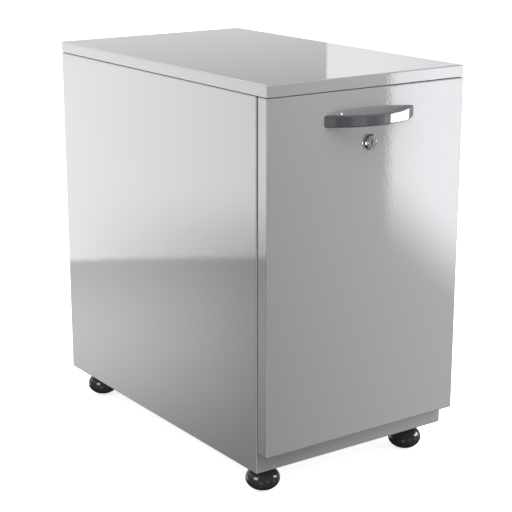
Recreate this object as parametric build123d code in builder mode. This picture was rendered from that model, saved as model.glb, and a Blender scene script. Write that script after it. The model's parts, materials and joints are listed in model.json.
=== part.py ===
"""Mobile filing pedestal: folded-steel carcass on four ball castors, with one full-height
pull-out file drawer on ball-bearing slides.

Millimetres, +Z up, the front faces -Y. The origin is on the floor, under the middle of the
overall box (handle included).
"""

import os

from build123d import *

# ---------------------------------------------------------------- driving dimensions
width = 330
depth = 550  # back of the carcass to the face of the drawer front
height = 575

castor_height = 44  # floor to the underside of the carcass
top_thickness = 16
shadow_gap = 1.0  # dark line under the top
front_thickness = 20
front_gap = 4  # drawer front to carcass, set by the soft stops
plinth_height = 31  # part of the carcass seen below the drawer front

sheet = 1.0  # body panels
heavy_sheet = 1.2  # rails, uprights and slide members
side_flange = 16
corner_radius = 1.5  # folded edges of the carcass

handle_length = 151
handle_height = 15.5
handle_thickness = 8
handle_reach = 30
handle_foot = 19  # length of each end that lies on the drawer front
handle_drop = 31  # underside of the top to the top of the handle
handle_corner = 3
handle_edge_radius = 2

lock_drop = 72.5  # underside of the top to the middle of the lock
rosette_radius = 11
rosette_height = 5
barrel_radius = 9
core_radius = 6.5

castor_radius = 24.3
castor_body_height = 34.7
castor_neck = 9  # top of the ball shell to the underside of the carcass
castor_mouth = 3  # floor to the lower rim of the shell
castor_inset = 36  # castor's middle to the sides and the back
castor_setback = 60  # castor's middle to the face of the drawer front
castor_trail = 2.5
wheel_radius = 12
wheel_width = 15
axle_radius = 2
axle_length = 26
neck_radius = 8
stem_radius = 5
spigot_radius = 4

slide_thickness = 12.7
slide_height = 45
cage_strip = 0.8
ball_pitch = 12
balls_per_row = 10
slide_rise = 104  # underside of the drawer to the middle of the slides
slide_setback = 6  # front of the carcass to the front end of the slides
slide_shortfall = 50  # slides to the full depth
cage_setback = 170  # front end of the slides to the ball cages, drawer shut
upright_width = 30
upright_setback = 15  # rear uprights to the back
rail_height = 24.5
strike_thickness = 1.2

drawer_height = 274
drawer_clearance = 7  # underside of the drawer to the rim of the base pan
drawer_setback = 28  # back of the drawer to the back of the carcass
drawer_flange = 12
drawer_radius = 1.5
floor_lip = 10
file_width = 330  # between the two rails that a hanging file spans
file_setback = 90  # drawer front to the first of those rails
rail_thickness = 2
stay_depth = 110
stay_overlap = 60  # how far the front stays reach down the drawer's sides
tray_rise = 40  # rim of the drawer to the pen tray
tray_height = 35
tray_depth = 80

top_radius = 1.5
front_radius = 2
board_clearance = 1.0  # board or loose sheet to the folded steel round it
gap_depth = 6  # how far the dark line under the top runs in
back_fold = 10
back_lap = 8
counterweight_depth = 100
counterweight_height = 18

rivet_radius = 2.5
rivet_head_radii = (4.5, 3.6)
rivet_head_height = 1.5
screw_radius = 2
screw_head_radii = (3.8, 3.0)
screw_head_height = 2.2
back_screw_radius = 1.6
back_screw_head = 3.4

cam_thickness = 2
cam_square = 7
cam_reach = 34
key_slot_width = 1.8
key_slot_height = 8.5
key_slot_depth = 8
running_clearance = 0.05  # radial, shaft in hole

# ---------------------------------------------------------------- places worked out from them
x_side = width / 2
y_back = (depth + handle_reach) / 2
y_face = y_back - depth
y_front_back = y_face + front_thickness
y_carcass = y_front_back + front_gap
z_slab = height - top_thickness
z_carcass_top = z_slab - shadow_gap
z_front = castor_height + plinth_height
z_pan_rim = z_front + 4  # rim of the base pan, just behind the foot of the drawer front

x_bay = x_side - side_flange  # inner face of the uprights, where the slides are fixed
x_drawer = x_bay - slide_thickness  # outer face of the drawer's sides
x_drawer_inside = x_drawer - sheet
z_drawer = z_pan_rim + drawer_clearance
z_drawer_rim = z_drawer + drawer_height
y_drawer_back = y_back - drawer_setback

y_upright_front = y_carcass + corner_radius
y_upright_rear = y_back - upright_width - upright_setback
z_frame_top = z_carcass_top - sheet  # top of the uprights and rails, under the side flanges
z_rail = z_frame_top - rail_height

slide_z = z_drawer + slide_rise
y_slide = y_carcass + slide_setback
slide_length = depth - slide_shortfall
y_cage = y_slide + cage_setback

lock_z = z_slab - lock_drop
handle_top = z_slab - handle_drop
handle_z = handle_top - handle_height / 2
handle_hole_x = (handle_length - handle_foot) / 2
y_stay_flange = y_front_back + sheet

castor_x = x_side - castor_inset
castor_y_front = y_face + castor_setback
castor_y_rear = y_back - castor_inset
castor_places = {
    "front_left": (-castor_x, castor_y_front),
    "front_right": (castor_x, castor_y_front),
    "rear_left": (-castor_x, castor_y_rear),
    "rear_right": (castor_x, castor_y_rear),
}


# ---------------------------------------------------------------- helpers
def save(part, name):
    """Label a finished piece and write its STEP file."""
    part.label = name
    export_step(part, f"parts/{name}.step")


def save_pair(right_part, name):
    """Write a right-hand piece, and its mirror image for the left."""
    with BuildPart() as left:
        mirror(right_part, about=Plane.YZ)
    save(right_part, f"{name}_right")
    save(left.part, f"{name}_left")


def with_mirror_image(part):
    """A piece and its mirror image across the middle, as one group."""
    with BuildPart() as both:
        add(part)
        mirror(part, about=Plane.YZ)
    return both.part


def block(low, high):
    """A box between two corners, inside the caller's BuildPart."""
    with Locations(tuple((a + b) / 2 for a, b in zip(low, high))):
        Box(*[b - a for a, b in zip(low, high)])


def pan(low, high, wall, axis, mouth, radius=0.0):
    """Folded tray between two corners. Its missing face is the first (0) or last (-1) along axis."""
    with BuildPart() as tray:
        block(low, high)
        if radius:
            open_face = tray.faces().sort_by(axis)[mouth]
            fillet(tray.edges() - open_face.edges(), radius)
        offset(amount=-wall, openings=tray.faces().sort_by(axis)[mouth])
    return tray.part


def facing_front(y):
    """Plane at y whose normal is -Y; its own axes are X and Z."""
    return Plane.front.offset(-y)


def facing_back(y):
    """Plane at y whose normal is +Y; its own axes are -X and Z."""
    return Plane.back.offset(y)


def facing_right(x):
    """Plane at x whose normal is +X; its own axes are Y and Z."""
    return Plane.right.offset(x)


def fasteners(plane, points, shank_radius, shank_length, head_radii, head_height):
    """Headed pins: heads stand on the plane, and shanks run from it against its normal."""
    with BuildPart(plane) as group:
        with Locations(*points):
            Cylinder(shank_radius, shank_length, align=(Align.CENTER, Align.CENTER, Align.MAX))
            Cone(*head_radii, head_height, align=(Align.CENTER, Align.CENTER, Align.MIN))
    return group.part


def pierced(part, *cutters):
    """A piece with the holes that its fasteners go through."""
    with BuildPart() as piece:
        add(part)
        for cutter in cutters:
            add(cutter, mode=Mode.SUBTRACT)
    return piece.part


def channel_bar(web_x, mouth_x, half_height, lip=0.0):
    """U-section bar along Y for a slide, its web at web_x, with lips turned in at its mouth."""
    inward = 1 if mouth_x > web_x else -1
    middle_x = (web_x + mouth_x) / 2
    lip_x = mouth_x - inward * heavy_sheet / 2
    lip_z = half_height - heavy_sheet - lip / 2
    with BuildPart() as bar:
        with BuildSketch(facing_front(y_slide)):
            with Locations((middle_x, slide_z)):
                Rectangle(abs(mouth_x - web_x), 2 * half_height)
            with Locations((middle_x + inward * heavy_sheet, slide_z)):
                Rectangle(abs(mouth_x - web_x), 2 * (half_height - heavy_sheet), mode=Mode.SUBTRACT)
            if lip:
                with Locations((lip_x, slide_z + lip_z), (lip_x, slide_z - lip_z)):
                    Rectangle(heavy_sheet, lip)
        extrude(amount=-slide_length)
    return bar.part


def ball_cage(web_x, mouth_x, ball_x, ball_z, ball_radius):
    """Bent retainer strip with its two rows of captive balls, which stand proud on both faces."""
    middle_x = (web_x + mouth_x) / 2
    half_height = ball_z + cage_strip / 2
    with BuildPart() as cage:
        with BuildSketch(facing_front(y_cage)):
            with Locations((middle_x, slide_z)):
                Rectangle(web_x - mouth_x, 2 * half_height)
            with Locations((middle_x - cage_strip, slide_z)):
                Rectangle(web_x - mouth_x, 2 * (half_height - cage_strip), mode=Mode.SUBTRACT)
        extrude(amount=-ball_pitch * balls_per_row)
        for ball in range(balls_per_row):
            ball_y = y_cage + ball_pitch * (ball + 0.5)
            with Locations((ball_x, ball_y, slide_z + ball_z), (ball_x, ball_y, slide_z - ball_z)):
                Sphere(ball_radius)
    return cage.part


# ---------------------------------------------------------------- fasteners
back_screw_x = x_bay + 4
back_height = z_carcass_top - z_pan_rim
back_screw_z = [z_pan_rim + back_height * share for share in (0.06, 0.35, 0.65, 0.94)]
back_screws = fasteners(
    facing_back(y_back - sheet),
    [(x, z) for x in (-back_screw_x, back_screw_x) for z in back_screw_z],
    shank_radius=back_screw_radius,
    shank_length=9,
    head_radii=(back_screw_radius, back_screw_head),
    head_height=sheet,
)

# each slide's outer member to the two uprights, heads in the uprights' hollow
post_rivets = with_mirror_image(
    fasteners(
        facing_right(x_bay + heavy_sheet),
        [
            (y + upright_width / 2, slide_z + dz)
            for y in (y_upright_front, y_upright_rear)
            for dz in (-10, 10)
        ],
        shank_radius=rivet_radius,
        shank_length=2 * heavy_sheet,
        head_radii=rivet_head_radii,
        head_height=rivet_head_height,
    )
)

# each slide's inner member and each front stay to a drawer side, heads inside the drawer
stay_rivet_z = z_drawer_rim - 35
drawer_rivets = with_mirror_image(
    fasteners(
        facing_right(-x_drawer_inside),
        [(y_slide + slide_length * share, slide_z) for share in (0.06, 0.36, 0.66, 0.94)]
        + [(y_front_back + 30, stay_rivet_z), (y_front_back + 90, stay_rivet_z)],
        shank_radius=rivet_radius,
        shank_length=sheet + heavy_sheet,
        head_radii=rivet_head_radii,
        head_height=rivet_head_height,
    )
)

front_screw_x = x_drawer - drawer_flange / 2
stay_screw_x = x_drawer + 6.5
stay_screw_z = (z_drawer_rim + 45, z_drawer_rim + 145)
front_screws = fasteners(
    facing_back(y_stay_flange),
    [(x, z) for x in (-front_screw_x, front_screw_x) for z in (z_drawer + 34, z_drawer_rim - 30)]
    + [(x, z) for x in (-stay_screw_x, stay_screw_x) for z in stay_screw_z],
    shank_radius=screw_radius,
    shank_length=13,
    head_radii=screw_head_radii,
    head_height=screw_head_height,
)

handle_screws = fasteners(
    facing_back(y_front_back),
    [(-handle_hole_x, handle_z), (handle_hole_x, handle_z)],
    shank_radius=screw_radius,
    shank_length=front_thickness + 6.5,
    head_radii=screw_head_radii,
    head_height=screw_head_height,
)


# ---------------------------------------------------------------- carcass
def make_carcass_shell():
    """Two folded side walls, the base pan whose front wall is the plinth, and the back wall."""
    side = pan(
        (x_bay, y_carcass, castor_height),
        (x_side, y_back, z_carcass_top),
        sheet,
        Axis.X,
        0,
        corner_radius,
    )
    save_pair(pierced(side, back_screws), "side_panel")

    with BuildPart() as base_pan:
        block((-x_bay, y_carcass, castor_height), (x_bay, y_back, z_pan_rim))
        fillet(base_pan.edges().filter_by(Axis.X).group_by(Axis.Z)[0], corner_radius)
        offset(amount=-sheet, openings=base_pan.faces().sort_by(Axis.Z)[-1])
        with Locations(*castor_places.values()):
            Hole(stem_radius)
    save(base_pan.part, "base_pan")

    back = pan(
        (-x_bay - back_lap, y_back - sheet - back_fold, z_pan_rim),
        (x_bay + back_lap, y_back - sheet, z_carcass_top - corner_radius),
        sheet,
        Axis.Y,
        0,
    )
    save(pierced(back, back_screws), "back_panel")
    save(back_screws, "back_screws")


def make_frame():
    """Four uprights that carry the slides, two rails under the top, and the lock's strike plate."""
    for place, y in (("front", y_upright_front), ("rear", y_upright_rear)):
        upright = pan(
            (x_bay, y, castor_height + sheet),
            (x_side - corner_radius, y + upright_width, z_frame_top),
            heavy_sheet,
            Axis.X,
            -1,
        )
        save_pair(pierced(upright, post_rivets), f"upright_{place}")
        rail = pan(
            (-x_bay, y, z_rail),
            (x_bay, y + upright_width, z_frame_top),
            heavy_sheet,
            Axis.Y,
            -1 if place == "front" else 0,
        )
        save(rail, f"top_rail_{place}")
    save(post_rivets, "post_rivets")

    strike_low = lock_z + 17
    with BuildPart() as lock_strike:
        with BuildSketch(facing_front(y_upright_front)):
            with Locations((0, (strike_low + z_frame_top - 4) / 2)):
                RectangleRounded(26, z_frame_top - 4 - strike_low, 3)
        extrude(amount=strike_thickness)
    save(lock_strike.part, "lock_strike")


def make_top():
    """Steel cover with rolled-down edges over a board, which stands on the side flanges."""
    cover = pan(
        (-x_side, y_face, z_slab), (x_side, y_back, height), sheet, Axis.Z, 0, top_radius
    )
    save(cover, "top_cover")

    inset = sheet + board_clearance
    with BuildPart() as top_board:
        block(
            (-x_side + inset, y_face + inset, z_slab),
            (x_side - inset, y_back - inset, height - sheet),
        )
        block(
            (-x_side + gap_depth, y_carcass + gap_depth, z_carcass_top),
            (x_side - gap_depth, y_back - gap_depth, z_slab),
        )
    save(top_board.part, "top_board")


def make_counterweight():
    """Steel slab on the base pan's floor, at the back, so that the open drawer can't tip it over."""
    floor = castor_height + sheet
    with BuildPart() as counterweight:
        with BuildSketch(Plane.XY.offset(floor)):
            with Locations((0, y_back - 70)):
                RectangleRounded(2 * castor_x - 40, counterweight_depth, 6)
        extrude(amount=counterweight_height)
        chamfer(counterweight.faces().sort_by(Axis.Z)[-1].edges(), 1)
    save(counterweight.part, "counterweight")


# ---------------------------------------------------------------- slides
def make_slides():
    """Three nested members a side, with a ball cage between each two of them."""
    outer = channel_bar(x_bay, x_bay - slide_thickness + 1.2, slide_height / 2, lip=2.8)
    save_pair(pierced(outer, post_rivets), "slide_outer")
    save_pair(channel_bar(x_bay - 3, x_bay - 10, slide_height / 2 - 6.3), "slide_middle")
    inner = channel_bar(x_drawer, x_bay - 6.5, slide_height / 2 - 11.9)
    save_pair(pierced(inner, drawer_rivets), "slide_inner")

    outer_cage = ball_cage(x_bay - 1.7, x_bay - 9, x_bay - 6, slide_height / 2 - 3.75, 2.25)
    inner_cage = ball_cage(x_bay - 4.9, x_bay - 11, x_bay - 8.7, slide_height / 2 - 9.7, 1.9)
    save(with_mirror_image(outer_cage), "ball_cages_outer")
    save(with_mirror_image(inner_cage), "ball_cages_inner")


# ---------------------------------------------------------------- drawer
def make_drawer_front():
    """Deep steel pan with a board inside and a closing sheet behind it, and soft stops on that."""
    skin = pan(
        (-x_side, y_face, z_front),
        (x_side, y_front_back, z_carcass_top),
        sheet,
        Axis.Y,
        -1,
        front_radius,
    )
    save(pierced(skin, lock_bore, handle_screws), "front_skin")

    inset = sheet + board_clearance
    y_board_back = y_front_back - heavy_sheet
    with BuildPart() as board:
        block(
            (-x_side + inset, y_face + sheet, z_front + inset),
            (x_side - inset, y_board_back, z_carcass_top - inset),
        )
    save(pierced(board.part, lock_bore, handle_screws, front_screws), "front_board")

    with BuildPart() as closing_sheet:
        with BuildSketch(facing_front(y_front_back)):
            with Locations((0, (z_front + z_carcass_top) / 2)):
                RectangleRounded(
                    width - 2 * sheet, z_carcass_top - z_front - 2 * sheet, front_radius - sheet
                )
        extrude(amount=heavy_sheet)
    pierced_sheet = pierced(closing_sheet.part, lock_bore, handle_screws, front_screws)
    save(pierced_sheet, "front_closing_sheet")

    bumper_x = x_bay + side_flange / 2
    with BuildPart(facing_back(y_front_back)) as front_bumpers:
        for z in (z_front + 30, z_carcass_top - 30):
            with Locations((-bumper_x, z), (bumper_x, z)):
                Cone(5, 4, front_gap - 0.3, align=(Align.CENTER, Align.CENTER, Align.MIN))
    save(front_bumpers.part, "front_bumpers")
    save(front_screws, "front_screws")


def make_drawer_body():
    """File box of folded sheet: two sides with flanges all round, a floor and a back."""
    side = pan(
        (x_drawer - drawer_flange, y_front_back, z_drawer),
        (x_drawer, y_drawer_back, z_drawer_rim),
        sheet,
        Axis.X,
        0,
        drawer_radius,
    )
    save_pair(pierced(side, drawer_rivets, front_screws), "drawer_side")
    save(drawer_rivets, "drawer_rivets")

    x_floor = x_drawer_inside - board_clearance
    z_floor = z_drawer + sheet
    y_floor_back = y_drawer_back - sheet - board_clearance
    drawer_floor = pan(
        (-x_floor, y_stay_flange + board_clearance, z_floor),
        (x_floor, y_floor_back, z_floor + floor_lip),
        sheet,
        Axis.Z,
        -1,
    )
    save(drawer_floor, "drawer_floor")

    drawer_back = pan(
        (-x_floor, y_drawer_back - sheet - floor_lip, z_floor + floor_lip),
        (x_floor, y_drawer_back - sheet, z_drawer_rim - sheet - board_clearance),
        sheet,
        Axis.Y,
        0,
    )
    save(drawer_back, "drawer_back")


def make_drawer_fittings():
    """Stays that hold the tall front upright, a pen tray between them, and the hanging-file rails."""
    stay_low = z_drawer_rim - stay_overlap
    stay_high = z_rail - 7
    with BuildPart() as stay:
        with BuildSketch(facing_right(x_drawer)):
            with BuildLine():
                Polyline(
                    (y_front_back, stay_low),
                    (y_front_back + stay_depth, stay_low),
                    (y_front_back + stay_depth, z_drawer_rim - 15),
                    (y_front_back + 14, stay_high),
                    (y_front_back, stay_high),
                    close=True,
                )
            make_face()
        extrude(amount=heavy_sheet)
        block(
            (x_drawer, y_front_back, stay_low),
            (x_drawer + 11, y_stay_flange, stay_high),
        )
    save_pair(pierced(stay.part, drawer_rivets, front_screws), "front_stay")

    y_tray = y_front_back + 4
    z_tray = z_drawer_rim + tray_rise
    pen_tray = pan(
        (-x_drawer, y_tray, z_tray),
        (x_drawer, y_tray + tray_depth, z_tray + tray_height),
        sheet,
        Axis.Z,
        -1,
        drawer_radius,
    )
    save(pen_tray, "pen_tray")

    x_between = x_drawer - drawer_flange - 0.5
    with BuildPart() as hanging_rails:
        for y in (y_front_back + file_setback, y_front_back + file_setback + file_width):
            y_far = y + rail_thickness
            z_high = z_drawer_rim + rail_thickness
            block((-x_between, y, z_drawer_rim - 18), (x_between, y_far, z_high))
            block((-x_drawer_inside, y, z_drawer_rim), (x_drawer_inside, y_far, z_high))
    save(hanging_rails.part, "hanging_rails")


def make_handle():
    """Bow handle: a crescent in plan whose two feet lie flat on the drawer front."""
    half = handle_length / 2
    inner_half = half - handle_foot
    bow_y = y_face - handle_reach
    with BuildPart() as handle:
        with BuildSketch(Plane.XY.offset(handle_top - handle_height)):
            with BuildLine():
                outer = ThreePointArc((-half, y_face), (0, bow_y), (half, y_face))
                Line(outer @ 1, (inner_half, y_face))
                inner = ThreePointArc(
                    (inner_half, y_face), (0, bow_y + handle_thickness), (-inner_half, y_face)
                )
                Line(inner @ 1, outer @ 0)
            make_face()
        extrude(amount=handle_height)
        fillet(handle.edges().filter_by(GeomType.CIRCLE), handle_edge_radius)
        with BuildSketch(facing_front(y_face)):
            with Locations((0, handle_z)):
                RectangleRounded(handle_length, handle_height, handle_corner)
        extrude(amount=handle_reach, mode=Mode.INTERSECT)
    save(pierced(handle.part, handle_screws), "handle")
    save(handle_screws, "handle_screws")


# ---------------------------------------------------------------- lock
y_barrel_front = y_face - rosette_height
y_nut_back = y_front_back + 3.4
y_cam = y_upright_front + 1  # front face of the cam, which passes just behind the strike plate
y_cam_back = y_cam + cam_thickness

with BuildPart(facing_front(y_barrel_front)) as bore_cutter:
    with Locations((0, lock_z)):
        Cylinder(
            barrel_radius, y_cam - y_barrel_front, align=(Align.CENTER, Align.CENTER, Align.MAX)
        )
lock_bore = bore_cutter.part


def make_lock_case():
    """The parts that stay still: rosette, threaded barrel and the nut that clamps it."""
    with BuildPart() as rosette:
        with BuildSketch(Plane.YZ):
            with BuildLine():
                foot = Line((y_face, lock_z + barrel_radius), (y_face, lock_z + rosette_radius))
                edge = Line(foot @ 1, (y_face - 1, lock_z + rosette_radius))
                dome = RadiusArc(
                    edge @ 1, (y_barrel_front + 0.6, lock_z + barrel_radius), -rosette_height
                )
                Line(dome @ 1, foot @ 0)
            make_face()
        revolve(axis=Axis((0, 0, lock_z), (0, 1, 0)))
    save(rosette.part, "lock_rosette")

    with BuildPart() as barrel:
        with BuildSketch(facing_front(y_cam - 0.2)):
            with Locations((0, lock_z)):
                Circle(barrel_radius)
                Circle(core_radius + running_clearance, mode=Mode.SUBTRACT)
        extrude(amount=y_cam - 0.2 - y_barrel_front)
        chamfer(barrel.faces().sort_by(Axis.Y)[0].edges().sort_by(SortBy.LENGTH)[-1], 0.8)
    save(barrel.part, "lock_barrel")

    with BuildPart() as nut:
        with BuildSketch(facing_front(y_nut_back)):
            with Locations((0, lock_z)):
                RegularPolygon(barrel_radius + 3, 6, major_radius=False)
                Circle(barrel_radius, mode=Mode.SUBTRACT)
        extrude(amount=y_nut_back - y_front_back)
    save(nut.part, "lock_nut")


def make_lock_core():
    """The parts that turn with the key. The cam lies sideways when the lock is open."""
    cam_screw = fasteners(
        facing_back(y_cam_back),
        [(0, lock_z)],
        shank_radius=screw_radius,
        shank_length=9,
        head_radii=screw_head_radii,
        head_height=2.0,
    )
    with BuildPart() as core:
        with BuildSketch(facing_front(y_cam)):
            with Locations((0, lock_z)):
                Circle(core_radius)
        extrude(amount=y_cam - y_barrel_front + 0.6)
        chamfer(core.faces().sort_by(Axis.Y)[0].edges(), 0.5)
        with BuildSketch(facing_front(y_cam_back)):
            with Locations((0, lock_z)):
                Rectangle(cam_square, cam_square)
        extrude(amount=cam_thickness)
        with BuildSketch(facing_front(y_barrel_front - 0.6)):
            with Locations((0, lock_z)):
                Rectangle(key_slot_width, key_slot_height)
        extrude(amount=-key_slot_depth, mode=Mode.SUBTRACT)
        add(cam_screw, mode=Mode.SUBTRACT)
    save(core.part, "lock_core")

    with BuildPart() as cam:
        with BuildSketch(facing_front(y_cam_back)):
            with Locations((0, lock_z)):
                Circle(8)
            with Locations((cam_reach - 6, lock_z)):
                Circle(6)
            make_hull()
            with Locations((0, lock_z)):
                Rectangle(cam_square, cam_square, mode=Mode.SUBTRACT)
        extrude(amount=cam_thickness)
    save(cam.part, "lock_cam")
    save(cam_screw, "cam_screw")


# ---------------------------------------------------------------- castors
stem_flange = 1.5
z_neck_top = castor_height - stem_flange - 0.3
z_body_middle = castor_height - castor_neck - castor_body_height / 2
z_spigot_end = 2 * wheel_radius + 3.3


def make_castor_mounts():
    """Threaded stems that stand on the base pan, each with its flange, lower spigot and nut."""
    with BuildPart() as stems:
        with Locations(*[(x, y, castor_height) for x, y in castor_places.values()]):
            Cylinder(stem_radius, 18, align=(Align.CENTER, Align.CENTER, Align.MIN))
            Cylinder(11, stem_flange, align=(Align.CENTER, Align.CENTER, Align.MAX))
            Cylinder(
                spigot_radius,
                castor_height - z_spigot_end,
                align=(Align.CENTER, Align.CENTER, Align.MAX),
            )
    save(stems.part, "castor_stems")

    with BuildPart() as nuts:
        with BuildSketch(Plane.XY.offset(castor_height + sheet)):
            with Locations(*castor_places.values()):
                RegularPolygon(stem_radius + 3.5, 6, major_radius=False)
                Circle(stem_radius, mode=Mode.SUBTRACT)
        extrude(amount=8)
    save(nuts.part, "castor_nuts")


def make_castor(name, x, y):
    """A moulded ball shell that swivels on its stem, and a roller inside it on a steel axle."""
    swivel = Axis((x, y, 0), (0, 0, 1))
    y_axle = y + castor_trail
    with BuildPart() as shell:
        with BuildSketch(Plane(origin=(x, y, 0), x_dir=(1, 0, 0), z_dir=(0, -1, 0))):
            with Locations((0, z_body_middle)):
                Ellipse(castor_radius, castor_body_height / 2)
            with Locations((0, castor_mouth)):
                Rectangle(
                    castor_radius + 1,
                    castor_height,
                    align=(Align.MIN, Align.MIN),
                    mode=Mode.INTERSECT,
                )
            with Locations((0, z_body_middle)):
                Rectangle(neck_radius, z_neck_top - z_body_middle, align=(Align.MIN, Align.MIN))
        revolve(axis=swivel)
        fillet(shell.edges().group_by(Axis.Z)[0], 0.8)
        with Locations((x, y, z_neck_top)):
            Hole(spigot_radius + running_clearance, z_neck_top - z_spigot_end + 0.5)
        pocket_half = wheel_width / 2 + 0.6
        with BuildSketch(facing_right(x - pocket_half)):
            with Locations((y_axle, wheel_radius)):
                Circle(wheel_radius + 1)
        extrude(amount=2 * pocket_half, mode=Mode.SUBTRACT)
        with BuildSketch(facing_right(x - axle_length / 2)):
            with Locations((y_axle, wheel_radius)):
                Circle(axle_radius)
        extrude(amount=axle_length, mode=Mode.SUBTRACT)
    save(shell.part, f"castor_shell_{name}")

    with BuildPart() as axle:
        with BuildSketch(facing_right(x - axle_length / 2)):
            with Locations((y_axle, wheel_radius)):
                Circle(axle_radius)
        extrude(amount=axle_length)
    save(axle.part, f"castor_axle_{name}")

    with BuildPart() as wheel:
        with BuildSketch(facing_right(x - wheel_width / 2)):
            with Locations((y_axle, wheel_radius)):
                Circle(wheel_radius)
                Circle(axle_radius + running_clearance, mode=Mode.SUBTRACT)
        extrude(amount=wheel_width)
        tread_rims = wheel.edges().filter_by(GeomType.CIRCLE).group_by(SortBy.LENGTH)[-1]
        fillet(tread_rims, 1.5)
    save(wheel.part, f"castor_wheel_{name}")


# ---------------------------------------------------------------- the whole pedestal
os.makedirs("parts", exist_ok=True)
make_carcass_shell()
make_frame()
make_top()
make_counterweight()
make_slides()
make_drawer_front()
make_drawer_body()
make_drawer_fittings()
make_handle()
make_lock_case()
make_lock_core()
make_castor_mounts()
for place, (x, y) in castor_places.items():
    make_castor(place, x, y)
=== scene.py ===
# %% [markdown]
# # A mobile filing pedestal, dressed around its CAD frame
# The steel carcass, the drawer, the slides and the castors come from the CAD model, already at
# their real size and place. This script gives them light, a camera and finishes, and rebuilds the
# pieces that a plain solid can't show well: screws, rivets, threads and ball cages.
# Every length below is in metres.

# %% Load the frame
import json
import math

import bmesh
import bpy
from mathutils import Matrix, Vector

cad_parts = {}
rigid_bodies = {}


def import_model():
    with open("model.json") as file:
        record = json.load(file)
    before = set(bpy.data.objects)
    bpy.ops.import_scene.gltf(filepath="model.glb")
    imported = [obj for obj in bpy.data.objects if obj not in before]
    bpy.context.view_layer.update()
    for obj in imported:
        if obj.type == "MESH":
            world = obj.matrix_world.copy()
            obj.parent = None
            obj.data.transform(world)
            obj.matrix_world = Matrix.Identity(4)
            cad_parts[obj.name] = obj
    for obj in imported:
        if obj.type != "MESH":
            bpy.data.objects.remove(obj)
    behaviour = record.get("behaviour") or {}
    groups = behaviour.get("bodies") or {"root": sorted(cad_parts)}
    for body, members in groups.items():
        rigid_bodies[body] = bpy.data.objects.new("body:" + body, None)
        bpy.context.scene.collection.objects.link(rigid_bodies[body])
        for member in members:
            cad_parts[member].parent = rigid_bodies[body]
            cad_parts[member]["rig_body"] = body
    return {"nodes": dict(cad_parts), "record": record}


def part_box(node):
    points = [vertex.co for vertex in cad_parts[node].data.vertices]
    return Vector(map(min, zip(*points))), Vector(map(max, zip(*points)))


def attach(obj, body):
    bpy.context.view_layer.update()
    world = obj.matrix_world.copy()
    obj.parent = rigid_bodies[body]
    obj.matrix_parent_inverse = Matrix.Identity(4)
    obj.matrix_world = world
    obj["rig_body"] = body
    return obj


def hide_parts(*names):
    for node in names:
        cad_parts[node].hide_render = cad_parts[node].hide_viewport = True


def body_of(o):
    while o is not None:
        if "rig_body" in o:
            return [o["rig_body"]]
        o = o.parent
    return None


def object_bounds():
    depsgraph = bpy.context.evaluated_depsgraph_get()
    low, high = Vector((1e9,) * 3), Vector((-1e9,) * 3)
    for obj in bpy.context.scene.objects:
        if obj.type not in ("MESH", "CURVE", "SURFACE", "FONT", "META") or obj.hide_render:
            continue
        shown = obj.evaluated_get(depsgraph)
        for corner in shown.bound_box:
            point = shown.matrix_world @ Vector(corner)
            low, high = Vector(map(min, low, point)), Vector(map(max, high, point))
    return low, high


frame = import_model()
cad_low, cad_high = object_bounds()
nodes = frame["nodes"]
slots = [material["slot"] for material in frame["record"]["materials"]]
print("pedestal", [round(v, 4) for v in cad_high - cad_low], "metres,", len(nodes), "nodes")

# %% [markdown]
# ## The camera
# A product view: a long lens from a standing viewer's left, a little above the top. A long lens
# keeps the vertical edges nearly parallel. The camera is described the way a studio would note it
# down: how far round the object, how high, how far away, and which point it looks at.

# %% Place the camera
camera_round = math.radians(-34.94)  # from straight in front, towards the left side
camera_rise = math.radians(15.51)
camera_distance = 2.145
camera_lens = 99.9  # millimetres, on a 36 mm sensor
aim = (cad_low + cad_high) / 2 + Vector((0.0037, 0.0062, -0.019))

away = Vector((
    math.sin(camera_round) * math.cos(camera_rise),
    -math.cos(camera_round) * math.cos(camera_rise),
    math.sin(camera_rise),
))
camera = bpy.data.objects.new("camera", bpy.data.cameras.new("camera"))
camera.data.lens = camera_lens
camera.location = aim + away * camera_distance
camera.rotation_mode = "QUATERNION"
camera.rotation_quaternion = away.to_track_quat("Z", "Y")
camera.data.clip_start = 0.05
camera.data.clip_end = 60
bpy.context.scene.collection.objects.link(camera)
bpy.context.scene.camera = camera
bpy.context.scene.view_settings.view_transform = "Standard"
print("camera at", [round(v, 3) for v in camera.location])

# %% [markdown]
# ## The studio round it
# Lacquer is half paint and half mirror: part of the light sinks in and comes out evenly, and part
# bounces off. So the world is painted twice. Rays that bounce off a shiny surface see a dark
# studio with soft white panels at chosen bearings, and all other rays get an even, soft light.
# Each panel is a patch between two bearings and two heights, with soft or hard edges. A world is
# the right tool here, because a reflection in a flat sheet depends on direction alone.

# %% A few node helpers
def add_node(tree, kind, **settings):
    """A new node with its plain properties set."""
    node = tree.nodes.new(kind)
    for name, value in settings.items():
        setattr(node, name, value)
    return node


def feed(tree, socket, value):
    """Links a socket, or sets it when the value is a plain number or colour."""
    if isinstance(value, bpy.types.NodeSocket):
        tree.links.new(value, socket)
    else:
        socket.default_value = value


def maths(tree, operation, a, b=0.0):
    """One Math node on two inputs."""
    node = add_node(tree, "ShaderNodeMath", operation=operation)
    feed(tree, node.inputs[0], a)
    feed(tree, node.inputs[1], b)
    return node.outputs[0]


def scaled(tree, value, factor):
    """A value or socket times a factor."""
    return maths(tree, "MULTIPLY", value, factor)


def ramp_between(tree, value, start, end, low=0.0, high=1.0, smooth=True):
    """Goes from low to high as value goes from start to end, and stays there outside them."""
    kind = "SMOOTHSTEP" if smooth else "LINEAR"
    node = add_node(tree, "ShaderNodeMapRange", interpolation_type=kind)
    feed(tree, node.inputs["Value"], value)
    for name, number in (("From Min", start), ("From Max", end), ("To Min", low), ("To Max", high)):
        node.inputs[name].default_value = number
    return node.outputs["Result"]


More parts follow.
